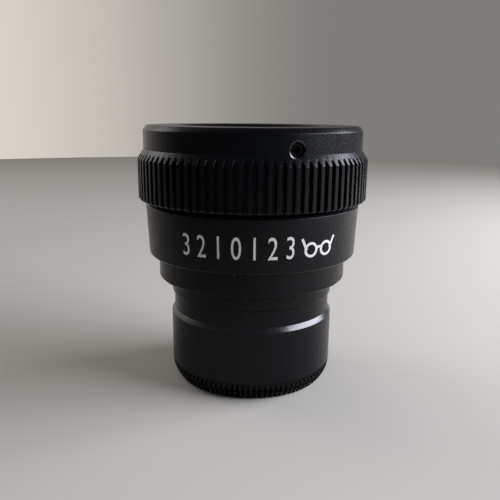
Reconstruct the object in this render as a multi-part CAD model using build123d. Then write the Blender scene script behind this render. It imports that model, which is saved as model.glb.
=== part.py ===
"""Dioptre-adjustable wide-field eyepiece for a 30 mm microscope tube.

Millimetres. The origin is the middle of the base, +Z is the optical axis and points to the eye.
Angles are measured about +Z from the front, which is -Y, towards +X.

The barrel is a body shell screwed onto an insertion tube that holds the field stop. The lens cell
slides in the body, kept from turning by two guide screws in straight slots. The ribbed dioptre ring
turns on the body's helicoid, and three dog-point screws carry the cell up and down with it.
"""
from math import sqrt
import os

from build123d import *

# Optics: two cemented doublets round a single lens, about 25 mm focal length, so 10 times.
lens_radius = 12.5
cement_curve = 30.0
outer_curve = 48.0
flint_thickness = 1.8
lens_edge = 1.1
lens_gap = 0.5
spacer_wall = 0.9
field_stop_rim = 2.35
image_depth = 10.0

# Running and fitting clearances.
lens_clearance = 0.05
thread_clearance = 0.05
slide_clearance = 0.05
helicoid_clearance = 0.05
head_clearance = 0.05
dog_clearance = 0.05
stop_gap = 0.3

# Insertion tube and the ribbed ring at its foot.
tube_radius = 15.0
tube_wall = 1.6
tube_length = 9.15
tube_bevel_height = 0.8
neck_drop = 0.55
neck_length = 3.25
neck_wall = 2.0
collar_drop = 0.2
collar_length = 2.7
collar_seat = 0.3
tube_thread_depth = 0.6
tube_thread_length = 4.0
base_height = 3.3
base_foot_inset = 1.3
base_neck_wall = 1.65
base_thread_length = 2.4
base_rib_count = 96
base_rib_gap = 0.42
base_rib_depth = 0.55
base_rib_phase = 2.25
field_stop_thickness = 0.8
stop_spacer_wall = 1.15

# Body shell.
step_width = 1.7
step_height = 4.4
body_taper = 0.4
body_rim = 2.0
body_bevel = 0.6
edge_bevel = 0.35
helicoid_wall = 2.55

# Lens cell.
cell_wall = 2.05
lip_height = 1.22
lip_width = 0.8
eye_opening_flare = 0.5
retainer_height = 1.2
retainer_inset = 0.3
retainer_thread_depth = 0.45
retainer_lip = 0.9
spanner_slot_width = 1.2
spanner_slot_depth = 0.6
head_web = 0.9
groove_depth = 1.1
guide_slot_depth = 0.95

# Dioptre ring: its outline from the rim down.
rim_bevel_height = 0.8
rim_bevel_width = 0.6
ring_wall = 2.15
ring_head_wall = 1.5
seat_length = 3.2
flare_height = 1.65
knurl_rise = 1.05
knurl_length = 7.15
knurl_bevel = 0.4
knurl_count = 88
knurl_depth = 0.6
knurl_gap_top = 0.8
knurl_gap_floor = 0.5
knurl_phase = 0.85

# Helicoid: a six-start thread gives a quick rise, five sixths of a turn over the whole range.
helicoid_lead = 6.0
ring_turn = 300.0
cell_travel = helicoid_lead * ring_turn / 360.0

# Set screws, M2.5 in the ring and M2 in the body, each with a dog point.
ring_screw_radius = 1.15
ring_screw_count = 3
ring_screw_angle = 20.3
ring_screw_drop = 3.2
ring_screw_sink = 0.5
ring_screw_bevel = 0.2
guide_screw_radius = 0.95
guide_screw_count = 2
guide_screw_angle = 90.0
guide_screw_drop = 1.6
guide_screw_sink = 0.2
dog_radius = 0.7
socket_share = 0.55
socket_depth = 0.6
slot_end_gap = 0.1
slot_floor_gap = 0.15

# How far a cutting shape passes the surface that it cuts.
overshoot = 1.0

# Levels of the barrel, from the foot up.
tube_foot_z = base_height
tube_bevel_z = tube_foot_z + tube_length
neck_z = tube_bevel_z + tube_bevel_height
collar_z = neck_z + neck_length
shoulder_z = collar_z + collar_length
collar_top_z = shoulder_z + collar_seat
step_top_z = shoulder_z + step_height
thread_top_z = shoulder_z + tube_thread_length
image_z = shoulder_z - image_depth

# How far the lens surfaces bow over their whole width, and the thickness that leaves the edge whole.
cement_bow = cement_curve - sqrt(cement_curve * cement_curve - lens_radius * lens_radius)
outer_bow = outer_curve - sqrt(outer_curve * outer_curve - lens_radius * lens_radius)
crown_thickness = lens_edge + cement_bow + outer_bow
middle_thickness = lens_edge + 2 * outer_bow

# Levels of the lenses and the cell, from the cell's foot up.
cell_foot_z = thread_top_z + stop_gap
field_lens_z = cell_foot_z + retainer_inset + retainer_height
field_cement_z = field_lens_z + flint_thickness
field_top_z = field_cement_z + crown_thickness
middle_foot_z = field_top_z + lens_gap
middle_top_z = middle_foot_z + middle_thickness
eye_foot_z = middle_top_z + lens_gap
eye_cement_z = eye_foot_z + crown_thickness
eye_top_z = eye_cement_z + flint_thickness
rim_z = eye_top_z + lip_height

# Levels of the ring, the cell's head and the body's top, from the rim down.
seat_top_z = rim_z - rim_bevel_height
flare_top_z = seat_top_z - seat_length
knurl_top_z = flare_top_z - flare_height
ring_foot_z = knurl_top_z - knurl_length
body_top_z = ring_foot_z - stop_gap
ring_screw_z = rim_z - ring_screw_drop
groove_half = dog_radius + dog_clearance
head_foot_z = ring_screw_z - groove_half - head_web
ledge_z = head_foot_z - dog_clearance * 2
helicoid_top_z = head_foot_z - stop_gap - helicoid_clearance
guide_screw_z = helicoid_top_z - guide_screw_drop

# Radii that follow from what they hold.
tube_bore = tube_radius - tube_wall
neck_radius = tube_radius - neck_drop
neck_bore = neck_radius - neck_wall
collar_radius = tube_radius - collar_drop
collar_bore = collar_radius + thread_clearance
tube_thread_radius = collar_radius - tube_thread_depth
base_thread_radius = tube_bore - thread_clearance
base_bore_radius = base_thread_radius - base_neck_wall
base_foot_radius = tube_radius - base_foot_inset
field_radius = base_thread_radius - field_stop_rim
lens_bore = lens_radius + lens_clearance
cell_radius = lens_bore + cell_wall
body_bore = cell_radius + slide_clearance
helicoid_radius = body_bore + helicoid_wall
body_top_radius = helicoid_radius + body_rim
body_foot_radius = body_top_radius - body_taper
step_radius = body_foot_radius - step_width
ring_bore = helicoid_radius + helicoid_clearance
seat_radius = ring_bore + ring_wall
knurl_radius = seat_radius + knurl_rise
head_bore = seat_radius - ring_head_wall
head_radius = head_bore - head_clearance
retainer_thread_radius = lens_bore + retainer_thread_depth
groove_radius = head_radius - groove_depth
slot_floor_radius = cell_radius - guide_slot_depth
retainer_bore_radius = lens_radius - retainer_lip
eye_opening_radius = lens_radius + eye_opening_flare


def turned(*pieces):
    """Solid of revolution about +Z from a closed outline of (radius, height) pieces."""
    edges = [edge for piece in pieces for edge in piece.edges()]
    return revolve(make_face(edges), Axis.Z)


def straight(*points):
    """Straight stretches of an outline through (radius, height) points."""
    return Polyline(*[(radius, 0, height) for radius, height in points])


def bent(start, middle, end):
    """One round stretch of an outline through three (radius, height) points."""
    return ThreePointArc(*[(radius, 0, height) for radius, height in (start, middle, end)])


def washer(outer, inner, low, high):
    """Plain ring between two heights."""
    return turned(straight((inner, low), (outer, low), (outer, high), (inner, high), (inner, low)))


def outward_rod(radius, near, far, height):
    """Rod that points out of the front, from one distance off the axis to another."""
    start = Plane(origin=(0, -near, height), x_dir=(1, 0, 0), z_dir=(0, -1, 0))
    return extrude(start * Circle(radius), far - near)


def around(shape, angle):
    """The shape turned about the optical axis."""
    return Rot(0, 0, angle) * shape


def ring_of(shape, count, first_angle):
    """Copies of the shape spaced evenly about the optical axis."""
    return [around(shape, first_angle + 360.0 * index / count) for index in range(count)]


def surface_height(surface, radius):
    """Height of a lens surface, (vertex height, curve), at a radius; a curve of 0 is flat."""
    vertex, curve = surface
    if curve == 0:
        return vertex
    bow = abs(curve) - sqrt(curve * curve - radius * radius)
    return vertex + bow if curve > 0 else vertex - bow


def surface_line(surface, start, end):
    """The stretch of a lens surface's outline between two radii."""
    middle = (start + end) / 2
    start_point = (start, surface_height(surface, start))
    end_point = (end, surface_height(surface, end))
    if surface[1] == 0:
        return straight(start_point, end_point)
    return bent(start_point, (middle, surface_height(surface, middle)), end_point)


def between_surfaces(lower, upper, inner, outer):
    """Solid of revolution between two lens surfaces, from an inner to an outer radius."""
    pieces = [
        surface_line(lower, inner, outer),
        straight((outer, surface_height(lower, outer)), (outer, surface_height(upper, outer))),
        surface_line(upper, outer, inner),
        straight((inner, surface_height(upper, inner)), (inner, surface_height(lower, inner))),
    ]
    return turned(*pieces)


def lenses_and_spacers():
    """Field doublet, middle lens and eye doublet, with the two rings that space them."""
    field_face = (field_lens_z, 0)
    field_cement = (field_cement_z, cement_curve)
    field_top = (field_top_z, -outer_curve)
    middle_foot = (middle_foot_z, outer_curve)
    middle_top = (middle_top_z, -outer_curve)
    eye_foot = (eye_foot_z, outer_curve)
    eye_cement = (eye_cement_z, -cement_curve)
    eye_face = (eye_top_z, 0)
    spacer_bore = lens_radius - spacer_wall
    return {
        "field_lens_flint": between_surfaces(field_face, field_cement, 0, lens_radius),
        "field_lens_crown": between_surfaces(field_cement, field_top, 0, lens_radius),
        "field_spacer": between_surfaces(field_top, middle_foot, spacer_bore, lens_radius),
        "middle_lens": between_surfaces(middle_foot, middle_top, 0, lens_radius),
        "eye_spacer": between_surfaces(middle_top, eye_foot, spacer_bore, lens_radius),
        "eye_lens_crown": between_surfaces(eye_foot, eye_cement, 0, lens_radius),
        "eye_lens_flint": between_surfaces(eye_cement, eye_face, 0, lens_radius),
    }


def dog_screw(thread_radius, near, shank, far, height):
    """Set screw that points at the axis: a thin dog, a threaded body and a hexagon socket."""
    screw = outward_rod(dog_radius, near, far, height)
    screw += outward_rod(thread_radius, shank, far, height)
    mouth = Plane(origin=(0, -far, height), x_dir=(1, 0, 0), z_dir=(0, -1, 0))
    socket = RegularPolygon(thread_radius * socket_share, 6)
    return screw - extrude(mouth * socket, -socket_depth)


def ring_screws():
    """Three screws that join the dioptre ring to the groove in the lens cell."""
    screw = dog_screw(
        ring_screw_radius,
        groove_radius + dog_clearance,
        head_bore,
        seat_radius - ring_screw_sink,
        ring_screw_z,
    )
    copies = ring_of(screw, ring_screw_count, ring_screw_angle)
    return {f"ring_screw_{index + 1}": copy for index, copy in enumerate(copies)}


def guide_screws():
    """Screws in the body whose points run in the cell's straight slots."""
    screw = dog_screw(
        guide_screw_radius,
        slot_floor_radius + slot_floor_gap,
        body_bore + guide_screw_sink / 2,
        helicoid_radius - guide_screw_sink,
        guide_screw_z,
    )
    copies = ring_of(screw, guide_screw_count, guide_screw_angle)
    return {f"guide_screw_{index + 1}": copy for index, copy in enumerate(copies)}


def base_ring():
    """Foot ring: a rounded ribbed rim, and a threaded neck that presses on the field stop."""
    drop = tube_radius - base_foot_radius
    round_radius = (base_height * base_height + drop * drop) / (2 * drop)
    half_height = base_height / 2
    half_drop = round_radius - sqrt(round_radius * round_radius - half_height * half_height)
    neck_top = base_height + base_thread_length
    ring = turned(
        straight((base_bore_radius + edge_bevel, 0), (base_foot_radius, 0)),
        bent((base_foot_radius, 0), (tube_radius - half_drop, half_height), (tube_radius, base_height)),
        straight(
            (tube_radius, base_height),
            (base_thread_radius, base_height),
            (base_thread_radius, neck_top),
            (base_bore_radius, neck_top),
            (base_bore_radius, edge_bevel),
            (base_bore_radius + edge_bevel, 0),
        ),
    )
    outside = tube_radius + overshoot
    slope = (drop + base_rib_depth) / base_height
    foot_radius = base_foot_radius - base_rib_depth
    gap_side = Polyline(
        (0, -(foot_radius - slope * overshoot), -overshoot),
        (0, -tube_radius, base_height),
        (0, -outside, base_height),
        (0, -outside, -overshoot),
        close=True,
    )
    gap = extrude(make_face(gap_side), base_rib_gap / 2, dir=(1, 0, 0), both=True)
    return ring - ring_of(gap, base_rib_count, base_rib_phase)


def stop_spacer():
    """Plain tube that holds the field stop up against its ledge."""
    foot = base_height + base_thread_length
    return washer(base_thread_radius, base_thread_radius - stop_spacer_wall, foot, image_z)


def field_stop():
    """Thin disc with a knife edge that bounds the field of view."""
    top = image_z + field_stop_thickness
    edge_slope = field_stop_thickness
    return turned(
        straight(
            (field_radius, image_z),
            (base_thread_radius, image_z),
            (base_thread_radius, top),
            (field_radius + edge_slope, top),
            (field_radius, image_z),
        )
    )


def insertion_tube():
    """Tube that goes into the microscope: sleeve, bevel, clamping neck, collar and thread."""
    ledge = image_z + field_stop_thickness
    return turned(
        straight(
            (tube_bore, tube_foot_z),
            (tube_radius, tube_foot_z),
            (tube_radius, tube_bevel_z),
            (neck_radius, neck_z),
            (neck_radius, collar_z - edge_bevel),
            (collar_radius, collar_z),
            (collar_radius, collar_top_z),
            (tube_thread_radius - thread_clearance, collar_top_z),
            (tube_thread_radius - thread_clearance, thread_top_z),
            (neck_bore, thread_top_z),
            (neck_bore, ledge),
            (tube_bore, ledge),
            (tube_bore, tube_foot_z),
        )
    )


def body_shell():
    """Outer body: locating step, tapered barrel and the helicoid sleeve under the ring."""
    shell = turned(
        straight(
            (collar_bore, shoulder_z),
            (step_radius - edge_bevel, shoulder_z),
            (step_radius, shoulder_z + edge_bevel),
            (step_radius, step_top_z),
            (body_foot_radius - edge_bevel, step_top_z),
            (body_foot_radius, step_top_z + edge_bevel),
            (body_top_radius, body_top_z - body_bevel),
            (body_top_radius - body_bevel, body_top_z),
            (helicoid_radius, body_top_z),
            (helicoid_radius, helicoid_top_z - edge_bevel),
            (helicoid_radius - edge_bevel, helicoid_top_z),
            (body_bore, helicoid_top_z),
            (body_bore, thread_top_z),
            (tube_thread_radius, thread_top_z),
            (tube_thread_radius, collar_top_z),
            (collar_bore, collar_top_z),
            (collar_bore, shoulder_z),
        )
    )
    hole_radius = guide_screw_radius + thread_clearance
    hole = outward_rod(hole_radius, body_bore - overshoot, helicoid_radius + overshoot, guide_screw_z)
    return shell - ring_of(hole, guide_screw_count, guide_screw_angle)


def lens_cell():
    """Sliding cell: lens bore, eye-side lip, grooved head and two straight guide slots."""
    retainer_top = field_lens_z
    groove_low = ring_screw_z - groove_half
    groove_high = ring_screw_z + groove_half
    cell = turned(
        straight(
            (retainer_thread_radius, cell_foot_z),
            (cell_radius, cell_foot_z),
            (cell_radius, head_foot_z),
            (head_radius, head_foot_z),
            (head_radius, groove_low),
            (groove_radius, groove_low),
            (groove_radius, groove_high),
            (head_radius, groove_high),
            (head_radius, rim_z),
            (eye_opening_radius, rim_z),
            (lens_radius - lip_width, eye_top_z),
            (lens_bore, eye_top_z),
            (lens_bore, retainer_top),
            (retainer_thread_radius, retainer_top),
            (retainer_thread_radius, cell_foot_z),
        )
    )
    slot_high = guide_screw_z + dog_radius + slot_end_gap
    slot_low = guide_screw_z - cell_travel - dog_radius - slot_end_gap
    slot_width = 2 * (dog_radius + dog_clearance)
    slot_plane = Plane(
        origin=(0, -slot_floor_radius, (slot_low + slot_high) / 2), x_dir=(0, 0, 1), z_dir=(0, -1, 0)
    )
    slot = extrude(slot_plane * SlotOverall(slot_high - slot_low, slot_width), cell_wall)
    return cell - ring_of(slot, guide_screw_count, guide_screw_angle)


def cell_retainer():
    """Threaded ring that holds the lenses in the cell, with two slots for a pin spanner."""
    foot = cell_foot_z + retainer_inset
    thread_radius = retainer_thread_radius - thread_clearance
    ring = washer(thread_radius, retainer_bore_radius, foot, field_lens_z)
    slot_length = 2 * (thread_radius + overshoot)
    return ring - Pos(0, 0, foot) * Box(slot_length, spanner_slot_width, 2 * spanner_slot_depth)


def knurl_gap():
    """One gap between two ribs of the dioptre ring, cut along the axis out into the flare."""
    floor = knurl_radius - knurl_depth
    outside = knurl_radius + overshoot
    flank = (knurl_gap_top - knurl_gap_floor) / 2 / knurl_depth
    half_floor = knurl_gap_floor / 2
    half_outside = half_floor + flank * (outside - floor)
    outline = Polyline(
        (-half_floor, -floor),
        (half_floor, -floor),
        (half_outside, -outside),
        (-half_outside, -outside),
        close=True,
    )
    low = ring_foot_z - overshoot
    return Pos(0, 0, low) * extrude(make_face(outline), flare_top_z - low)


def dioptre_ring():
    """Ribbed ring: knurl, flare and smooth eyecup seat outside, helicoid and head bores inside."""
    ring = turned(
        straight(
            (ring_bore + edge_bevel, ring_foot_z),
            (knurl_radius - knurl_bevel, ring_foot_z),
            (knurl_radius, ring_foot_z + knurl_bevel),
            (knurl_radius, knurl_top_z),
            (seat_radius, flare_top_z),
            (seat_radius, seat_top_z),
            (seat_radius - rim_bevel_width, rim_z),
            (head_bore, rim_z),
            (head_bore, ledge_z),
            (ring_bore, ledge_z),
            (ring_bore, ring_foot_z + edge_bevel),
            (ring_bore + edge_bevel, ring_foot_z),
        )
    )
    ring -= ring_of(knurl_gap(), knurl_count, knurl_phase)
    hole_radius = ring_screw_radius + thread_clearance
    hole = outward_rod(hole_radius, head_bore - overshoot, seat_radius + overshoot, ring_screw_z)
    mouth = Plane(
        origin=(0, -(seat_radius - ring_screw_bevel), ring_screw_z), x_dir=(1, 0, 0), z_dir=(0, -1, 0)
    )
    countersink = Cone(hole_radius, hole_radius + overshoot, overshoot)
    hole += mouth * Pos(0, 0, overshoot / 2) * countersink
    return ring - ring_of(hole, ring_screw_count, ring_screw_angle)


def eyepiece():
    """Every node of the eyepiece, by name."""
    nodes = {
        "base_ring": base_ring(),
        "stop_spacer": stop_spacer(),
        "field_stop": field_stop(),
        "insertion_tube": insertion_tube(),
        "body_shell": body_shell(),
        "lens_cell": lens_cell(),
        "cell_retainer": cell_retainer(),
        "dioptre_ring": dioptre_ring(),
    }
    nodes.update(guide_screws())
    nodes.update(lenses_and_spacers())
    nodes.update(ring_screws())
    return nodes


os.makedirs("parts", exist_ok=True)
for node_name, node_shape in eyepiece().items():
    export_step(node_shape, f"parts/{node_name}.step")
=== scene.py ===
# Microscope eyepiece: black anodised aluminium, glass and print round the fixed frame.
from math import atan2, cos, hypot, pi, radians, sin, sqrt, tau

import bmesh
import bpy
from mathutils import Matrix, Vector


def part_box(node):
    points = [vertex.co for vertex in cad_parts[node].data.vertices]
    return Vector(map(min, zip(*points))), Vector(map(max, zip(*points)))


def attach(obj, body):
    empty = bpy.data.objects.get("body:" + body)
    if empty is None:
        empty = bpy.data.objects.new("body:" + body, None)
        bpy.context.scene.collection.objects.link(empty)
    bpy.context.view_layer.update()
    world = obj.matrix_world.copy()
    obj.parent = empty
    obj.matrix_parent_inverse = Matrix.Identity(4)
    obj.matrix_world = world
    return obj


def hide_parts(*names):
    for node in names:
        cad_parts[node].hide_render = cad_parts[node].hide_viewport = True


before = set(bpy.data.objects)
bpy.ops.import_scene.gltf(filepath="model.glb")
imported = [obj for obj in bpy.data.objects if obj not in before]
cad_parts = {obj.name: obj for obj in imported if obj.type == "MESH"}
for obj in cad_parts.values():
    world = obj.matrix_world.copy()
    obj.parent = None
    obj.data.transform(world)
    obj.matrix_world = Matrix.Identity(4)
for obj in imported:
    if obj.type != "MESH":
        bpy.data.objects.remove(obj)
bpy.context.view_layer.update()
mm = 0.001
scene = bpy.context.scene
scene.view_settings.view_transform = "Standard"
print("frame loaded:", len(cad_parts), "nodes")


# Colours are sRGB hex values; the shaders want linear light.
def linearColour(code):
    def channel(pair):
        value = int(pair, 16) / 255
        return value / 12.92 if value <= 0.04045 else ((value + 0.055) / 1.055) ** 2.4

    return (*[channel(code[start:start + 2]) for start in (1, 3, 5)], 1.0)


# Adds one node; an input that is another node's socket is linked, any other value is set.
def addNode(tree, kind, settings=None, inputs=None):
    node = tree.nodes.new(kind)
    for name, value in (settings or {}).items():
        setattr(node, name, value)
    for name, value in (inputs or {}).items():
        if isinstance(value, bpy.types.NodeSocket):
            tree.links.new(value, node.inputs[name])
        else:
            node.inputs[name].default_value = value
    return node


# A material with one Principled shader, the values that are the same all over, and object coordinates.
def plainMaterial(name, values):
    material = bpy.data.materials.new(name)
    material.use_nodes = True
    tree = material.node_tree
    shader = tree.nodes["Principled BSDF"]
    for socket, value in values.items():
        shader.inputs[socket].default_value = value
    place = addNode(tree, "ShaderNodeTexCoord").outputs["Object"]
    return material, tree, shader, place


# Hard-anodised aluminium, dyed black: turned, bead blasted, then anodised. The eye gets a satin
# blue-black with a fine sparkle in its highlights, and faint turning lines round the axis.
anodised = {
    "dye": "#06070a",
    "thinDye": "#0d0f14",
    "ior": 1.5,
    "level": 0.18,  # the dyed pores swallow most of what bare oxide would reflect
    "roughness": (0.22, 0.34),
    "grainMm": 0.24,  # the blasted grain is nearer 0.08 mm, too fine for the render, so drawn coarser
    "grainReach": (0.3, 0.7), "grainStrength": 0.6, "grainDepthMm": 0.05,
    "feedMm": 0.3,  # the lathe's feed is nearer 0.1 mm, drawn coarser for the same reason
    "feedStrength": 0.2, "feedDepthMm": 0.006,
    "ringScale": (0.02, 0.02, 1.0),  # drawn out across the axis, the noise makes rings round it
    "patchMm": 9.0,
    "dust": "#7c7e82", "dustMm": 3.2, "dustSize": 0.035, "dustShare": 0.16,
}


def blackAnodisedAluminium():
    d = anodised
    material, tree, shader, place = plainMaterial("blackAnodisedAluminium", {
        "IOR": d["ior"], "Specular IOR Level": d["level"]})
    patch = addNode(tree, "ShaderNodeTexNoise", None, {
        "Vector": place, "Scale": 1 / (d["patchMm"] * mm), "Detail": 3.0})
    dye = addNode(tree, "ShaderNodeMix", {"data_type": "RGBA"}, {
        "Factor": patch.outputs["Fac"], "A": linearColour(d["dye"]), "B": linearColour(d["thinDye"])})
    grain = addNode(tree, "ShaderNodeTexNoise", None, {
        "Vector": place, "Scale": 1 / (d["grainMm"] * mm), "Detail": 2.0})
    rough = addNode(tree, "ShaderNodeMapRange", None, {
        "Value": grain.outputs["Fac"], "From Min": d["grainReach"][0], "From Max": d["grainReach"][1],
        "To Min": d["roughness"][0], "To Max": d["roughness"][1]})
    rings = addNode(tree, "ShaderNodeMapping", None, {"Vector": place, "Scale": d["ringScale"]})
    feed = addNode(tree, "ShaderNodeTexNoise", None, {
        "Vector": rings.outputs["Vector"], "Scale": 1 / (d["feedMm"] * mm), "Detail": 1.0})
    blasted = addNode(tree, "ShaderNodeBump", None, {
        "Height": grain.outputs["Fac"], "Strength": d["grainStrength"], "Distance": d["grainDepthMm"] * mm})
    turned = addNode(tree, "ShaderNodeBump", None, {
        "Height": feed.outputs["Fac"], "Strength": d["feedStrength"], "Distance": d["feedDepthMm"] * mm,
        "Normal": blasted.outputs["Normal"]})
    # A few specks of lint: one small spot in some of the cells of a coarse pattern.
    cell = addNode(tree, "ShaderNodeTexVoronoi", None, {
        "Vector": place, "Scale": 1 / (d["dustMm"] * mm)})
    parts = addNode(tree, "ShaderNodeSeparateColor", None, {"Color": cell.outputs["Color"]})
    spot = addNode(tree, "ShaderNodeMath", {"operation": "LESS_THAN"}, {
        0: cell.outputs["Distance"], 1: d["dustSize"]})
    chosen = addNode(tree, "ShaderNodeMath", {"operation": "LESS_THAN"}, {
        0: parts.outputs["Red"], 1: d["dustShare"]})
    speck = addNode(tree, "ShaderNodeMath", {"operation": "MULTIPLY"}, {
        0: spot.outputs["Value"], 1: chosen.outputs["Value"]})
    dusty = addNode(tree, "ShaderNodeMix", {"data_type": "RGBA"}, {
        "Factor": speck.outputs["Value"], "A": dye.outputs["Result"], "B": linearColour(d["dust"])})
    tree.links.new(dusty.outputs["Result"], shader.inputs["Base Color"])
    tree.links.new(rough.outputs["Result"], shader.inputs["Roughness"])
    tree.links.new(turned.outputs["Normal"], shader.inputs["Normal"])
    return material


# A chamfer turned with a sharp tool after blasting: the same dye on a smoother cut, which flashes.
turnedEdge = {
    "dye": "#0c0d11", "ior": 1.65, "roughness": (0.2, 0.3), "grainMm": 0.35, "grainReach": (0.3, 0.7),
    "grainStrength": 0.5, "grainDepthMm": 0.02,
}


def turnedChamfer():
    d = turnedEdge
    material, tree, shader, place = plainMaterial("turnedAnodisedChamfer", {
        "Base Color": linearColour(d["dye"]), "IOR": d["ior"]})
    grain = addNode(tree, "ShaderNodeTexNoise", None, {
        "Vector": place, "Scale": 1 / (d["grainMm"] * mm), "Detail": 2.0})
    rough = addNode(tree, "ShaderNodeMapRange", None, {
        "Value": grain.outputs["Fac"], "From Min": d["grainReach"][0], "From Max": d["grainReach"][1],
        "To Min": d["roughness"][0], "To Max": d["roughness"][1]})
    bump = addNode(tree, "ShaderNodeBump", None, {
        "Height": grain.outputs["Fac"], "Strength": d["grainStrength"], "Distance": d["grainDepthMm"] * mm})
    tree.links.new(rough.outputs["Result"], shader.inputs["Roughness"])
    tree.links.new(bump.outputs["Normal"], shader.inputs["Normal"])
    return material


# Matt black anodising inside the barrel: blasted deeper, so that it swallows stray light.
mattBlack = {
    "dye": "#060608", "dust": "#0f0f11", "roughness": 0.9, "grainMm": 0.3,
    "grainStrength": 0.5, "grainDepthMm": 0.03,
}


def mattBlackAluminium():
    d = mattBlack
    material, tree, shader, place = plainMaterial("mattBlackAluminium", {
        "IOR": anodised["ior"], "Specular IOR Level": anodised["level"], "Roughness": d["roughness"]})
    grain = addNode(tree, "ShaderNodeTexNoise", None, {
        "Vector": place, "Scale": 1 / (d["grainMm"] * mm), "Detail": 4.0})
    dye = addNode(tree, "ShaderNodeMix", {"data_type": "RGBA"}, {
        "Factor": grain.outputs["Fac"], "A": linearColour(d["dye"]), "B": linearColour(d["dust"])})
    bump = addNode(tree, "ShaderNodeBump", None, {
        "Height": grain.outputs["Fac"], "Strength": d["grainStrength"], "Distance": d["grainDepthMm"] * mm})
    tree.links.new(dye.outputs["Result"], shader.inputs["Base Color"])
    tree.links.new(bump.outputs["Normal"], shader.inputs["Normal"])
    return material


# Chemically blackened steel: a dark, slightly oily metal with brown-grey patches.
blackenedSteel = {
    "oxide": "#0a0a0c", "worn": "#191817", "roughness": (0.3, 0.45),
    "patchMm": 0.9, "patchReach": (0.3, 0.7),
}


def blackOxideSteel():
    d = blackenedSteel
    material, tree, shader, place = plainMaterial("blackOxideSteel", {"Metallic": 1.0})
    patch = addNode(tree, "ShaderNodeTexNoise", None, {
        "Vector": place, "Scale": 1 / (d["patchMm"] * mm), "Detail": 4.0})
    oxide = addNode(tree, "ShaderNodeMix", {"data_type": "RGBA"}, {
        "Factor": patch.outputs["Fac"], "A": linearColour(d["oxide"]), "B": linearColour(d["worn"])})
    rough = addNode(tree, "ShaderNodeMapRange", None, {
        "Value": patch.outputs["Fac"], "From Min": d["patchReach"][0], "From Max": d["patchReach"][1],
        "To Min": d["roughness"][0], "To Max": d["roughness"][1]})
    tree.links.new(oxide.outputs["Result"], shader.inputs["Base Color"])
    tree.links.new(rough.outputs["Result"], shader.inputs["Roughness"])
    return material


# Polished optical glass with a green anti-reflection coating, clean apart from a faint bloom.
coating = {
    "glass": "#fbfdfb", "ior": 1.62, "tint": "#d2ebdd", "level": 0.06, "roughness": (0.0, 0.008),
    "bloomMm": 9.0, "bloomReach": (0.2, 0.8),
}


def coatedGlass():
    d = coating
    material, tree, shader, place = plainMaterial("coatedOpticalGlass", {
        "Base Color": linearColour(d["glass"]), "IOR": d["ior"], "Transmission Weight": 1.0,
        "Specular IOR Level": d["level"], "Specular Tint": linearColour(d["tint"])})
    bloom = addNode(tree, "ShaderNodeTexNoise", None, {
        "Vector": place, "Scale": 1 / (d["bloomMm"] * mm), "Detail": 3.0})
    rough = addNode(tree, "ShaderNodeMapRange", None, {
        "Value": bloom.outputs["Fac"], "From Min": d["bloomReach"][0], "From Max": d["bloomReach"][1],
        "To Min": d["roughness"][0], "To Max": d["roughness"][1]})
    tree.links.new(rough.outputs["Result"], shader.inputs["Roughness"])
    return material


# White epoxy ink, rolled into shallow engraving and baked: matt, very slightly uneven.
ink = {"white": "#f1f0ec", "thin": "#d5d5d2", "ior": 1.5, "roughness": 0.55, "patchMm": 0.5}


def whiteInk():
    d = ink
    material, tree, shader, place = plainMaterial("whiteEpoxyInk", {
        "IOR": d["ior"], "Roughness": d["roughness"]})
    patch = addNode(tree, "ShaderNodeTexNoise", None, {
        "Vector": place, "Scale": 1 / (d["patchMm"] * mm), "Detail": 3.0})
    colour = addNode(tree, "ShaderNodeMix", {"data_type": "RGBA"}, {
        "Factor": patch.outputs["Fac"], "A": linearColour(d["white"]), "B": linearColour(d["thin"])})
    tree.links.new(colour.outputs["Result"], shader.inputs["Base Color"])
    return material


anodisedBlack = blackAnodisedAluminium()
chamferBlack = turnedChamfer()
innerBlack = mattBlackAluminium()
screwBlack = blackOxideSteel()
glass = coatedGlass()
printWhite = whiteInk()
print("materials made")

# Every node that stays in view keeps its solid and gets the finish of its slot.
finishes = {
    "black_anodised_aluminium": anodisedBlack,
    "matt_black_aluminium": innerBlack,
    "black_oxide_steel": screwBlack,
    "coated_glass": glass,
}
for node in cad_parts.values():
    slotName = node.material_slots[0].material.name.split(".")[0]
    for slot in node.material_slots:
        slot.material = finishes[slotName]


# Turns the finished bmesh into a piece that rides on a body and stands for its CAD nodes.
def makePiece(bm, name, material, body, nodes=(), sharpAngle=30):
    mesh = bpy.data.meshes.new(name)
    bm.to_mesh(mesh)
    bm.free()
    mesh.shade_smooth()
    mesh.set_sharp_from_angle(angle=radians(sharpAngle))
    mesh.materials.append(material)
    piece = bpy.data.objects.new(name, mesh)
    scene.collection.objects.link(piece)
    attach(piece, body)
    if nodes:
        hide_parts(*nodes)
    return piece


# Keeps flat bands flat in the shading, so that only the broken edges catch the light.
def weighNormals(piece):
    modifier = piece.modifiers.new("weightedNormals", "WEIGHTED_NORMAL")
    modifier.keep_sharp = True


# Distances in millimetres within which points count as one, or as lying at one height.
near = {"turned": 0.0005, "ribs": 0.004, "height": 0.001}


# An outline of (radius, height) points in millimetres, spun into a solid of revolution. One that
# starts and ends on the axis isn't closed along it.
def turnedSolid(points, steps, closed=True):
    bm = bmesh.new()
    corners = [bm.verts.new((radius * mm, 0, height * mm)) for radius, height in points]
    following = corners[1:] + corners[:1] if closed else corners[1:]
    for start, end in zip(corners, following):
        bm.edges.new((start, end))
    bmesh.ops.spin(bm, geom=bm.verts[:] + bm.edges[:], cent=(0, 0, 0), axis=(0, 0, 1), dvec=(0, 0, 0),
                   angle=tau, steps=steps, use_merge=True)
    bmesh.ops.remove_doubles(bm, verts=bm.verts, dist=near["turned"] * mm)
    bmesh.ops.recalc_face_normals(bm, faces=bm.faces)
    return bm


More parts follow.
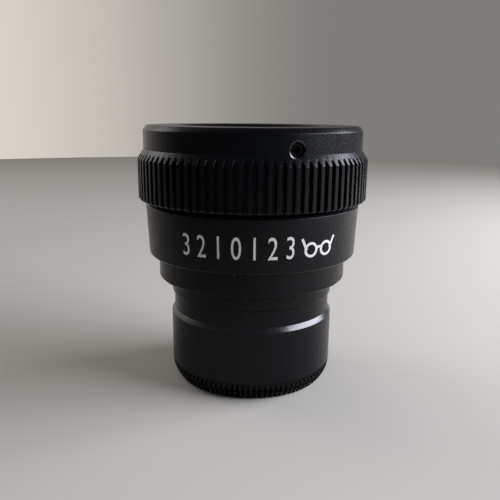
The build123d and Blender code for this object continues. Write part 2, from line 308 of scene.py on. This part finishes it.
# Breaks the outward edges that turn more than an angle, as a deburring pass does.
def breakEdges(bm, width, segments=2, angle=20):
    edges = [edge for edge in bm.edges
             if len(edge.link_faces) == 2 and edge.calc_face_angle_signed(0) > radians(angle)]
    bmesh.ops.bevel(bm, geom=edges, offset=width * mm, offset_type="OFFSET", segments=segments,
                    profile=0.5, affect="EDGES", material=-1, clamp_overlap=True)
    bmesh.ops.recalc_face_normals(bm, faces=bm.faces)


# Gives the turned chamfer's finish to the faces of a piece between two heights and two radii.
def finishChamfer(piece, heights, radii):
    piece.data.materials.append(chamferBlack)
    for face in piece.data.polygons:
        middle = face.center / mm
        if heights[0] < middle.z < heights[1] and radii[0] < hypot(middle.x, middle.y) < radii[1]:
            face.material_index = 1


# Extrudes an open loop round the axis and lays the new loop on a circle at a height.
def growLoop(bm, edges, radius, height):
    grown = bmesh.ops.extrude_edge_only(bm, edges=edges)["geom"]
    for vert in grown:
        if isinstance(vert, bmesh.types.BMVert):
            reach = radius * mm / hypot(vert.co.x, vert.co.y)
            vert.co = (vert.co.x * reach, vert.co.y * reach, height * mm)
    return [edge for edge in grown if isinstance(edge, bmesh.types.BMEdge)]


# The open edges of a mesh that lie at a height.
def openLoop(bm, height):
    return [edge for edge in bm.edges if edge.is_boundary
            and all(abs(vert.co.z / mm - height) < near["height"] for vert in edge.verts)]


# A point in millimetres at an angle from the front, offset sideways, and so far out.
def polarPoint(angle, sideways, outward, height):
    turn = radians(angle)
    return Vector((outward * sin(turn) + sideways * cos(turn),
                   -outward * cos(turn) + sideways * sin(turn), height)) * mm


# How far a point lies round the axis from a middle angle.
def sideOf(place, middle):
    angle = atan2(place.x, -place.y) - middle
    return (angle + pi) % tau - pi


# One rib with half a gap at each side, raised level by level and copied round the axis.
# Each level is (height, surface radius, floor radius, half the gap at the surface, and at the floor).
def ribbedBand(count, phase, levels):
    bm = bmesh.new()
    pitch = 360 / count
    row = []
    for index, (height, surface, floor, halfTop, halfFloor) in enumerate(levels):
        far = sqrt(surface * surface - halfTop * halfTop)
        half = [(0, floor), (halfFloor, floor), (halfTop, far)]
        places = [polarPoint(phase, side, out, height) for side, out in half]
        places.append(polarPoint(phase + pitch / 2, 0, surface, height))
        places += [polarPoint(phase + pitch, -side, out, height) for side, out in reversed(half)]
        if index == 0:
            verts = [bm.verts.new(place) for place in places]
            row = [bm.edges.new(pair) for pair in zip(verts, verts[1:])]
            continue
        grown = bmesh.ops.extrude_edge_only(bm, edges=row)["geom"]
        row = [edge for edge in grown if isinstance(edge, bmesh.types.BMEdge)]
        middle = radians(phase + pitch / 2)
        raised = [vert for vert in grown if isinstance(vert, bmesh.types.BMVert)]
        raised.sort(key=lambda vert: sideOf(vert.co, middle))
        for vert, place in zip(raised, places):
            vert.co = place
    bmesh.ops.spin(bm, geom=bm.verts[:] + bm.edges[:] + bm.faces[:], cent=(0, 0, 0), axis=(0, 0, 1),
                   dvec=(0, 0, 0), angle=tau * (count - 1) / count, steps=count - 1, use_duplicate=True)
    bmesh.ops.remove_doubles(bm, verts=bm.verts, dist=near["ribs"] * mm)
    return bm


# Dioptre ring: 88 ribs that run out into the flare, a smooth seat for an eyecup, a bevelled rim.
dioptreRing = {
    "knurlRadius": 20.45,
    "ribs": 88, "phase": 0.85, "ribDepth": 0.6, "gapTop": 0.8, "gapFloor": 0.5,
    "footBevel": 0.4, "knurlLength": 7.15, "flareHeight": 1.65, "seatDrop": 1.05,
    "rimWidth": 0.6, "rimHeight": 0.8, "headWall": 1.5, "headDepth": 4.95, "bore": 17.25,
    "boreBevel": 0.35, "brokenEdge": 0.07,
    "screws": 3, "screwAngle": 20.3, "screwDrop": 3.2, "holeRadius": 1.2, "countersink": 0.2,
    "mouthRadius": 1.5, "drillDepth": 3, "drillReach": 1, "drillOverlap": 0.001, "drillSteps": 48,
}


def makeDioptreRing():
    d = dioptreRing
    low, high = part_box("dioptre_ring")
    foot, rim = low.z / mm, high.z / mm
    knurl = d["knurlRadius"]
    knurlTop = foot + d["knurlLength"]
    flareTop = knurlTop + d["flareHeight"]
    seat = knurl - d["seatDrop"]
    floor = knurl - d["ribDepth"]
    runOut = knurlTop + d["flareHeight"] * d["ribDepth"] / d["seatDrop"]
    flank = (d["gapTop"] - d["gapFloor"]) / 2 / d["ribDepth"]
    halfFloor = d["gapFloor"] / 2

    def level(height, surface):
        return height, surface, floor, halfFloor + flank * (surface - floor), halfFloor

    footRadius = knurl - d["footBevel"]
    bm = ribbedBand(d["ribs"], d["phase"], [
        level(foot, footRadius), level(foot + d["footBevel"], knurl), level(knurlTop, knurl),
        level(runOut, floor)])
    loop = openLoop(bm, runOut)
    for vert in {vert for edge in loop for vert in edge.verts}:
        vert.co.xy = vert.co.xy.normalized() * floor * mm
    seatTop = rim - d["rimHeight"]
    headBore = seat - d["headWall"]
    ledge = rim - d["headDepth"]
    outline = [
        (seat, flareTop), (seat, seatTop), (seat - d["rimWidth"], rim), (headBore, rim),
        (headBore, ledge), (d["bore"], ledge), (d["bore"], foot + d["boreBevel"]),
        (d["bore"] + d["boreBevel"], foot)]
    for radius, height in outline:
        loop = growLoop(bm, loop, radius, height)
    footLoop = [edge for edge in openLoop(bm, foot) if edge not in set(loop)]
    bmesh.ops.bridge_loops(bm, edges=loop + footLoop)
    bmesh.ops.recalc_face_normals(bm, faces=bm.faces)
    breakEdges(bm, d["brokenEdge"])
    ring = makePiece(bm, "dioptreRing", anodisedBlack, "ring", ["dioptre_ring"])
    cutHoles(ring, seat, rim - d["screwDrop"])
    weighNormals(ring)


# Drills and countersinks the screw holes with a boolean, which is applied at once.
def cutHoles(ring, seat, height):
    d = dioptreRing
    drill = bmesh.new()
    hole, mouth = d["holeRadius"], d["mouthRadius"]
    outside = seat + d["drillReach"]
    cutters = [(seat - d["drillDepth"], outside, hole, hole),
               (seat - d["countersink"], seat, hole, mouth),
               (seat - d["drillOverlap"], outside, mouth, mouth)]
    flashing = set()
    for index in range(d["screws"]):
        angle = d["screwAngle"] + 360 / d["screws"] * index
        for low, high, start, end in cutters:
            made = bmesh.ops.create_cone(drill, cap_ends=True, segments=d["drillSteps"],
                                         radius1=start * mm, radius2=end * mm, depth=(high - low) * mm)
            outward = polarPoint(angle, 0, 1, 0).to_track_quat("Z", "Y").to_matrix().to_4x4()
            place = Matrix.Translation(polarPoint(angle, 0, (low + high) / 2, height))
            bmesh.ops.transform(drill, matrix=place @ outward, verts=made["verts"])
            if end > hole:
                flashing.update(face for vert in made["verts"] for face in vert.link_faces)
    for face in flashing:
        face.material_index = 1
    ring.data.materials.append(chamferBlack)
    mesh = bpy.data.meshes.new("drill")
    drill.to_mesh(mesh)
    mesh.materials.append(anodisedBlack)
    mesh.materials.append(chamferBlack)
    drill.free()
    tool = bpy.data.objects.new("drill", mesh)
    scene.collection.objects.link(tool)
    modifier = ring.modifiers.new("screwHoles", "BOOLEAN")
    modifier.operation, modifier.solver, modifier.object = "DIFFERENCE", "EXACT", tool
    modifier.use_self = True
    bpy.context.view_layer.update()
    cut = bpy.data.meshes.new_from_object(ring.evaluated_get(bpy.context.evaluated_depsgraph_get()))
    ring.modifiers.remove(modifier)
    ring.data = cut
    cut.name = ring.name
    bpy.data.objects.remove(tool)
    bpy.data.meshes.remove(mesh)


# Foot ring: a rounded rim with 96 fine ribs, and the threaded neck inside the sleeve.
footRing = {
    "ribs": 96, "phase": 2.25, "gap": 0.42, "ribDepth": 0.55, "height": 3.3, "footInset": 1.3,
    "tubeRadius": 15.0, "neckRadius": 13.35, "bore": 11.7, "boreBevel": 0.35, "steps": 7,
    "brokenEdge": 0.05, "breakAngle": 35,
}


def makeFootRing():
    d = footRing
    top, outer = d["height"], d["tubeRadius"]
    inset, depth = d["footInset"], d["ribDepth"]
    arcRadius = (top * top + inset * inset) / (2 * inset)
    arcMiddle = outer - arcRadius
    levels = []
    for index in range(d["steps"]):
        height = top * index / (d["steps"] - 1)
        surface = arcMiddle + sqrt(arcRadius * arcRadius - (top - height) ** 2)
        floor = outer - (inset + depth) * (top - height) / top
        levels.append((height, surface, floor, d["gap"] / 2, d["gap"] / 2))
    bm = ribbedBand(d["ribs"], d["phase"], levels)
    loop = openLoop(bm, top)
    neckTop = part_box("base_ring")[1].z / mm
    for radius, height in [(d["neckRadius"], top), (d["neckRadius"], neckTop), (d["bore"], neckTop),
                           (d["bore"], d["boreBevel"]), (d["bore"] + d["boreBevel"], 0)]:
        loop = growLoop(bm, loop, radius, height)
    footLoop = [edge for edge in openLoop(bm, 0) if edge not in set(loop)]
    bmesh.ops.bridge_loops(bm, edges=loop + footLoop)
    bmesh.ops.recalc_face_normals(bm, faces=bm.faces)
    breakEdges(bm, d["brokenEdge"], angle=d["breakAngle"])
    piece = makePiece(bm, "footRing", anodisedBlack, "barrel", ["base_ring"])
    weighNormals(piece)


# Body: locating step, tapered barrel and helicoid sleeve, turned from one bar.
bodyShell = {
    "shoulderZ": 19.2, "collarSeat": 0.3, "collarBore": 14.85, "threadBore": 14.2, "threadTopZ": 23.2,
    "stepRadius": 17.1, "stepTopZ": 23.6, "footRadius": 18.8, "topRadius": 19.2, "edge": 0.35,
    "topZ": 33.1, "topBevel": 0.6, "sleeveRadius": 17.2, "bore": 14.65, "steps": 288,
    "brokenEdge": 0.06,
    "threadStarts": 6, "threadLead": 6.0, "threadDepth": 0.4, "threadCrest": 0.35, "threadRoot": 0.75,
    "threadSunk": 0.1, "runOut": 0.5, "threadSteps": 144,
}


def makeBody():
    d = bodyShell
    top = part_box("body_shell")[1].z / mm
    root = d["sleeveRadius"] - d["threadDepth"]
    bm = turnedSolid([
        (d["collarBore"], d["shoulderZ"]),
        (d["stepRadius"] - d["edge"], d["shoulderZ"]),
        (d["stepRadius"], d["shoulderZ"] + d["edge"]),
        (d["stepRadius"], d["stepTopZ"]),
        (d["footRadius"] - d["edge"], d["stepTopZ"]),
        (d["footRadius"], d["stepTopZ"] + d["edge"]),
        (d["topRadius"], d["topZ"] - d["topBevel"]),
        (d["topRadius"] - d["topBevel"], d["topZ"]),
        (root, d["topZ"]),
        (root, top - d["edge"]),
        (root - d["edge"], top),
        (d["bore"], top),
        (d["bore"], d["threadTopZ"]),
        (d["threadBore"], d["threadTopZ"]),
        (d["threadBore"], d["shoulderZ"] + d["collarSeat"]),
        (d["collarBore"], d["shoulderZ"] + d["collarSeat"]),
    ], d["steps"])
    breakEdges(bm, d["brokenEdge"])
    shell = makePiece(bm, "bodyShell", anodisedBlack, "barrel", ["body_shell"])
    weighNormals(shell)
    makeHelicoid(d["topZ"] + d["runOut"], top - d["edge"], root)


# Six ridges wound round the sleeve: a quick thread that lifts the ring 6 mm in one turn.
def makeHelicoid(low, high, root):
    d = bodyShell
    bm = bmesh.new()
    span = high - low + 2 * d["threadLead"]
    turns = span / d["threadLead"]
    steps = int(d["threadSteps"] * turns)
    inside = root - d["threadSunk"]
    start = low - d["threadLead"]
    section = [(inside, -d["threadRoot"] / 2), (root, -d["threadRoot"] / 2),
               (d["sleeveRadius"], -d["threadCrest"] / 2), (d["sleeveRadius"], d["threadCrest"] / 2),
               (root, d["threadRoot"] / 2), (inside, d["threadRoot"] / 2)]
    verts = [bm.verts.new((radius * mm, 0, (start + height) * mm)) for radius, height in section]
    face = bm.faces.new(verts)
    rise = span * mm / steps
    bmesh.ops.spin(bm, geom=[face], cent=(0, 0, 0), axis=(0, 0, 1), dvec=(0, 0, rise),
                   angle=tau * turns, steps=steps, use_merge=False)
    ridge = bm.verts[:] + bm.edges[:] + bm.faces[:]
    bmesh.ops.spin(bm, geom=ridge, cent=(0, 0, 0), axis=(0, 0, 1), dvec=(0, 0, 0),
                   angle=tau * (d["threadStarts"] - 1) / d["threadStarts"], steps=d["threadStarts"] - 1,
                   use_duplicate=True)
    for height, up in ((low, -1), (high, 1)):
        cut = bmesh.ops.bisect_plane(bm, geom=bm.verts[:] + bm.edges[:] + bm.faces[:],
                                     plane_co=(0, 0, height * mm), plane_no=(0, 0, up), clear_outer=True)
        edges = [item for item in cut["geom_cut"] if isinstance(item, bmesh.types.BMEdge)]
        bmesh.ops.holes_fill(bm, edges=edges, sides=0)
    bmesh.ops.recalc_face_normals(bm, faces=bm.faces)
    makePiece(bm, "helicoidThread", anodisedBlack, "barrel")


# Insertion tube: sleeve, bevel, clamping neck, collar, and light-trap grooves down the bore.
tube = {
    "radius": 15.0, "bore": 13.4, "bevelZ": 12.45, "neckZ": 13.25, "neckRadius": 14.45,
    "collarZ": 16.5, "collarRadius": 14.8, "collarTopZ": 19.5, "threadRadius": 14.15, "edge": 0.35,
    "neckBore": 12.45, "ledgeZ": 10.0, "steps": 288, "brokenEdge": 0.06,
    "grooves": 17, "grooveDepth": 0.25,
}


def makeTube():
    d = tube
    low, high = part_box("insertion_tube")
    foot, top = low.z / mm, high.z / mm
    points = [
        (d["bore"], foot), (d["radius"], foot), (d["radius"], d["bevelZ"]), (d["neckRadius"], d["neckZ"]),
        (d["neckRadius"], d["collarZ"] - d["edge"]), (d["collarRadius"], d["collarZ"]),
        (d["collarRadius"], d["collarTopZ"]), (d["threadRadius"], d["collarTopZ"]),
        (d["threadRadius"], top)]
    pitch = (top - d["ledgeZ"]) / d["grooves"]
    for index in range(d["grooves"]):
        crest = top - pitch * index
        points += [(d["neckBore"], crest), (d["neckBore"] + d["grooveDepth"], crest - pitch / 2)]
    points += [(d["neckBore"], d["ledgeZ"]), (d["bore"], d["ledgeZ"])]
    bm = turnedSolid(points, d["steps"])
    breakEdges(bm, d["brokenEdge"])
    piece = makePiece(bm, "insertionTube", anodisedBlack, "barrel",
                      ["insertion_tube"])
    finishChamfer(piece, (d["bevelZ"], d["neckZ"]), (d["neckRadius"], d["radius"]))
    weighNormals(piece)


# Each cemented pair becomes one glass, because two glass faces must not lie on each other.
optics = {"radius": 12.5, "curve": 48.0, "steps": 192, "arcSteps": 24}


# Height of a lens face at a radius; a curve of 0 is flat, a positive one opens upward.
def faceHeight(vertex, curve, radius):
    if curve == 0:
        return vertex
    bow = abs(curve) - sqrt(curve * curve - radius * radius)
    return vertex + bow if curve > 0 else vertex - bow


# A lens from its lower and upper face, each given as (height on the axis, curve).
def makeLens(name, lower, upper, nodes):
    d = optics
    radii = [d["radius"] * index / d["arcSteps"] for index in range(d["arcSteps"] + 1)]
    rising = [(radius, faceHeight(*lower, radius)) for radius in radii]
    falling = [(radius, faceHeight(*upper, radius)) for radius in reversed(radii)]
    bm = turnedSolid(rising + falling, d["steps"], closed=False)
    makePiece(bm, name, glass, "cell", nodes)


def makeOptics():
    curve = optics["curve"]
    fieldFoot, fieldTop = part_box("field_lens_flint")[0].z / mm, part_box("field_lens_crown")[1].z / mm
    middleFoot, middleTop = [corner.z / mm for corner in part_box("middle_lens")]
    eyeFoot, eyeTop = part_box("eye_lens_crown")[0].z / mm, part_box("eye_lens_flint")[1].z / mm
    makeLens("fieldDoublet", (fieldFoot, 0), (fieldTop, -curve), ["field_lens_flint", "field_lens_crown"])
    makeLens("middleLens", (middleFoot, curve), (middleTop, -curve), ["middle_lens"])
    makeLens("eyeDoublet", (eyeFoot, curve), (eyeTop, 0), ["eye_lens_crown", "eye_lens_flint"])


# Printed band: plain numerals and a plain spectacles sign, white, wrapped round the tapered body.
marks = {
    "numerals": "3210123", "firstAngle": -33.4, "lastAngle": 18.4, "lowZ": 26.2, "height": 3.6,
    "width": 2.0, "signAngle": 34.0, "signLowZ": 26.15, "proud": 0.02, "sunk": 0.06, "slice": 0.35,
    "lensRadius": 1.25, "stroke": 0.42, "lensReach": 1.5, "armRise": 1.9, "armReach": 0.9,
    "bridgeRise": 1.3, "lensSteps": 40, "fontWidest": 0.56, "sharpAngle": 50,
}


# Radius of the tapered body at a height.
def bodyRadius(height):
    d = bodyShell
    low, high = d["stepTopZ"] + d["edge"], d["topZ"] - d["topBevel"]
    return d["footRadius"] + (d["topRadius"] - d["footRadius"]) * (height - low) / (high - low)


# Slices a flat shape, gives it a thickness and bends it round the body at an angle.
def wrapMark(bm, angle, lowZ):
    d = marks
    left = min(vert.co.x for vert in bm.verts)
    right = max(vert.co.x for vert in bm.verts)
    slices = int((right - left) / d["slice"])
    for index in range(1, slices):
        place = left + (right - left) * index / slices
        bmesh.ops.bisect_plane(bm, geom=bm.verts[:] + bm.edges[:] + bm.faces[:], plane_co=(place, 0, 0),
                               plane_no=(1, 0, 0))
    grown = bmesh.ops.extrude_face_region(bm, geom=bm.faces[:])["geom"]
    for vert in grown:
        if isinstance(vert, bmesh.types.BMVert):
            vert.co.z = -d["sunk"]
    for vert in bm.verts:
        out = d["proud"] if vert.co.z > -d["sunk"] / 2 else -d["sunk"]
        height = lowZ + vert.co.y
        radius = bodyRadius(height)
        turn = radians(angle) + vert.co.x / radius
        vert.co = ((radius + out) * sin(turn) * mm, -(radius + out) * cos(turn) * mm, height * mm)
    bmesh.ops.recalc_face_normals(bm, faces=bm.faces)


# One numeral as flat faces, its foot at 0 and its middle at 0, scaled to the print's size.
def flatNumeral(text):
    curve = bpy.data.curves.new("numeral", "FONT")
    curve.body = text
    writer = bpy.data.objects.new("numeral", curve)
    scene.collection.objects.link(writer)
    bpy.context.view_layer.update()
    mesh = bpy.data.meshes.new_from_object(writer.evaluated_get(bpy.context.evaluated_depsgraph_get()))
    bm = bmesh.new()
    bm.from_mesh(mesh)
    bpy.data.objects.remove(writer)
    bpy.data.curves.remove(curve)
    bpy.data.meshes.remove(mesh)
    low = Vector(min(vert.co[axis] for vert in bm.verts) for axis in range(3))
    high = Vector(max(vert.co[axis] for vert in bm.verts) for axis in range(3))
    tall = marks["height"] / (high.y - low.y)
    wide = marks["width"] / marks["fontWidest"]  # the widest numeral's share of the font's size
    bmesh.ops.translate(bm, verts=bm.verts, vec=(-(low.x + high.x) / 2, -low.y, 0))
    bmesh.ops.scale(bm, verts=bm.verts, vec=(wide, tall, 1))
    return bm


# Spectacles seen from the front: two round lenses, a bridge and the starts of two arms.
def flatSpectacles():
    d = marks
    bm = bmesh.new()
    radius, reach, stroke = d["lensRadius"], d["lensReach"], d["stroke"]
    for side in (-1, 1):
        rim = bmesh.ops.create_circle(bm, cap_ends=True, segments=d["lensSteps"], radius=radius)
        bmesh.ops.translate(bm, verts=rim["verts"], vec=(side * reach, radius, 0))
        face = [face for face in bm.faces if all(vert in rim["verts"] for vert in face.verts)]
        bmesh.ops.inset_region(bm, faces=face, thickness=stroke, use_boundary=True, use_even_offset=True)
        bmesh.ops.delete(bm, geom=face, context="FACES_ONLY")
        start = Vector((side * (reach + radius - stroke), radius, 0))
        end = start + Vector((side * d["armReach"], d["armRise"], 0))
        addStroke(bm, start, end, stroke)
    bridgeEnd = reach - radius / 2 - stroke
    bridgeHeight = radius * d["bridgeRise"]
    addStroke(bm, Vector((-bridgeEnd, bridgeHeight, 0)), Vector((bridgeEnd, bridgeHeight, 0)), stroke)
    return bm


# A straight stroke of a flat sign between two points.
def addStroke(bm, start, end, width):
    along = end - start
    bar = bmesh.ops.create_grid(bm, x_segments=1, y_segments=1, size=0.5)
    place = (Matrix.Translation((start + end) / 2) @ Matrix.Rotation(atan2(along.y, along.x), 4, "Z")
             @ Matrix.Diagonal((along.length, width, 1, 1)))
    bmesh.ops.transform(bm, matrix=place, verts=bar["verts"])


def makeMarks():
    d = marks
    count = len(d["numerals"])
    for index, text in enumerate(d["numerals"]):
        bm = flatNumeral(text)
        angle = d["firstAngle"] + (d["lastAngle"] - d["firstAngle"]) * index / (count - 1)
        wrapMark(bm, angle, d["lowZ"])
        makePiece(bm, f"numeral_{index + 1}", printWhite, "barrel", sharpAngle=d["sharpAngle"])
    bm = flatSpectacles()
    wrapMark(bm, d["signAngle"], d["signLowZ"])
    makePiece(bm, "spectaclesSign", printWhite, "barrel", sharpAngle=d["sharpAngle"])


makeDioptreRing()
print("dioptre ring made")
makeFootRing()
print("foot ring made")
makeBody()
makeTube()
print("body and tube made")
makeOptics()
print("lenses made")
makeMarks()
print("marks made")

# Camera: fitted to the photograph's outline, 0.1 m away and 13.5 degrees above the level.
camera = {
    "place": (-0.320, -104.065, 48.344), "pitch": 0.2361, "roll": 0.00844,  # mm and radians
    "lens": 41.05, "sensor": 36.0, "clip": (0.001, 20.0),
}


def makeCamera():
    data = bpy.data.cameras.new("camera")
    data.lens = camera["lens"]
    data.sensor_width = camera["sensor"]
    data.clip_start, data.clip_end = camera["clip"]
    seat = bpy.data.objects.new("camera", data)
    scene.collection.objects.link(seat)
    seat.matrix_world = (Matrix.Translation(Vector(camera["place"]) * mm)
                         @ Matrix.Rotation(pi / 2 - camera["pitch"], 4, "X")
                         @ Matrix.Rotation(camera["roll"], 4, "Z"))
    scene.camera = seat


# A pale table with painted shade darkening it in front of the view, a soft wall, and daylight from the
# right.
studio = {
    "tableRadius": 550, "tableDrop": 0.02, "tableSteps": 128,
    "floor": "#d2ccc3", "floorRoughness": 0.9, "floorLevel": 0.2,
    # Painted shade on the table: a dark colour towards the camera, with its direction and its reach in mm.
    "paintedShade": "#3d3e40", "paintedShadeWay": (-0.49, -0.87, 0), "paintedShadeReach": (55, 160),
    "paleWall": "#ddd7ce", "greyWall": "#7f7d79", "greyReach": (-0.5, 0.15),
    "room": "#5c5e61", "wallReach": (-0.3, 0.7),
    "aimZ": 25,
    # Each lamp: name, azimuth and elevation, distance, width and height in mm, watts, tint.
    "lamps": [
        ("windowLamp", (88, 23), 340, (380, 160), 2.2, "#eef3ff"),
        ("fillLamp", (-118, 30), 500, (200, 200), 0.35, "#f4f5ff"),
    ],
}


def makeTable():
    d = studio
    bm = bmesh.new()
    bmesh.ops.create_circle(bm, cap_ends=True, segments=d["tableSteps"], radius=d["tableRadius"] * mm)
    bmesh.ops.translate(bm, verts=bm.verts, vec=(0, 0, -d["tableDrop"] * mm))
    mesh = bpy.data.meshes.new("floor")
    bm.to_mesh(mesh)
    bm.free()
    material, tree, shader, place = plainMaterial("palePaperPaintedShade", {
        "Roughness": d["floorRoughness"], "Specular IOR Level": d["floorLevel"]})
    # Painted shade: the table's colour fades from pale to near black towards the camera. It stands in for
    # the shade of the room in front, which the dark metal reflects.
    forward = addNode(tree, "ShaderNodeVectorMath", {"operation": "DOT_PRODUCT"}, {
        0: place, 1: d["paintedShadeWay"]})
    paintedShadeFade = addNode(tree, "ShaderNodeMapRange", {"interpolation_type": "SMOOTHSTEP"}, {
        "Value": forward.outputs["Value"],
        "From Min": d["paintedShadeReach"][0] * mm, "From Max": d["paintedShadeReach"][1] * mm})
    colour = addNode(tree, "ShaderNodeMix", {"data_type": "RGBA"}, {
        "Factor": paintedShadeFade.outputs["Result"], "A": linearColour(d["floor"]), "B": linearColour(d["paintedShade"])})
    tree.links.new(colour.outputs["Result"], shader.inputs["Base Color"])
    mesh.materials.append(material)
    floor = bpy.data.objects.new("floor", mesh)
    scene.collection.objects.link(floor)


# Light from all round: a wall behind the object, paler at the left, and a darker room before it.
def makeRoom():
    d = studio
    world = bpy.data.worlds.new("softRoom")
    scene.world = world
    world.use_nodes = True
    tree = world.node_tree
    direction = addNode(tree, "ShaderNodeTexCoord").outputs["Generated"]
    parts = addNode(tree, "ShaderNodeSeparateXYZ", None, {"Vector": direction})
    toRight = addNode(tree, "ShaderNodeMapRange", {"interpolation_type": "SMOOTHSTEP"}, {
        "Value": parts.outputs["X"], "From Min": d["greyReach"][0], "From Max": d["greyReach"][1]})
    behind = addNode(tree, "ShaderNodeMapRange", {"interpolation_type": "SMOOTHSTEP"}, {
        "Value": parts.outputs["Y"], "From Min": d["wallReach"][0], "From Max": d["wallReach"][1]})
    wall = addNode(tree, "ShaderNodeMix", {"data_type": "RGBA"}, {
        "Factor": toRight.outputs["Result"],
        "A": linearColour(d["paleWall"]), "B": linearColour(d["greyWall"])})
    colour = addNode(tree, "ShaderNodeMix", {"data_type": "RGBA"}, {
        "Factor": behind.outputs["Result"], "A": linearColour(d["room"]), "B": wall.outputs["Result"]})
    tree.links.new(colour.outputs["Result"], tree.nodes["Background"].inputs["Color"])


def makeLamps():
    target = Vector((0, 0, studio["aimZ"])) * mm
    for name, (azimuth, elevation), distance, (wide, tall), power, tint in studio["lamps"]:
        lamp = bpy.data.lights.new(name, "AREA")
        lamp.shape, lamp.size, lamp.size_y = "RECTANGLE", wide * mm, tall * mm
        lamp.energy = power
        lamp.color = linearColour(tint)[:3]
        holder = bpy.data.objects.new(name, lamp)
        holder.visible_camera = False
        scene.collection.objects.link(holder)
        turn, lift = radians(azimuth), radians(elevation)
        back = Vector((sin(turn) * cos(lift), -cos(turn) * cos(lift), sin(lift)))
        holder.matrix_world = (Matrix.Translation(target + back * distance * mm)
                               @ back.to_track_quat("Z", "Y").to_matrix().to_4x4())


makeCamera()
makeTable()
makeRoom()
makeLamps()
print("camera, floor and lamps made")
